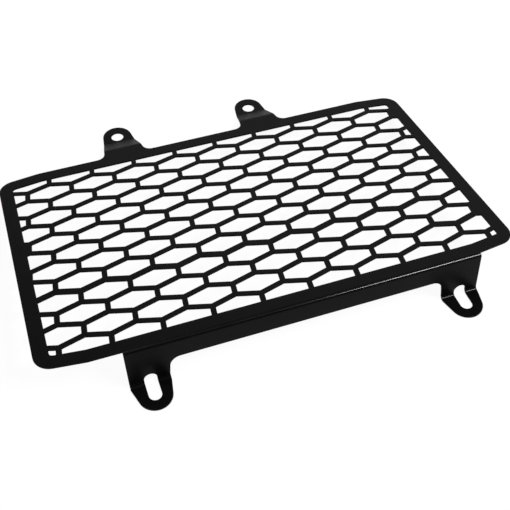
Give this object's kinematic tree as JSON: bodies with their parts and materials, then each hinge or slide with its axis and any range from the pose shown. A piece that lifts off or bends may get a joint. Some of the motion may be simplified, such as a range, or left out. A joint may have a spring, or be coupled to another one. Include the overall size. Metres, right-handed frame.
{
  "type": "motorcycle radiator guard",
  "caption": "Black coated radiator guard folded from one sheet: a leaning honeycomb grille, stepped rear tabs with holes and a front flange on slotted feet.",
  "frame": {"origin": "on the mounting plane, midway between the two rear tab holes", "axes": "+X along the panel's length, +Y from the feet towards the rear tabs, +Z off the radiator, out of the mounting plane"},
  "size_m": [0.269, 0.2208, 0.0266],
  "materials": {
    "black_coat": "satin black powder coat over sheet steel"
  },
  "bodies": {
    "root": {"radiator_guard": "black_coat"}
  },
  "joints": []
}
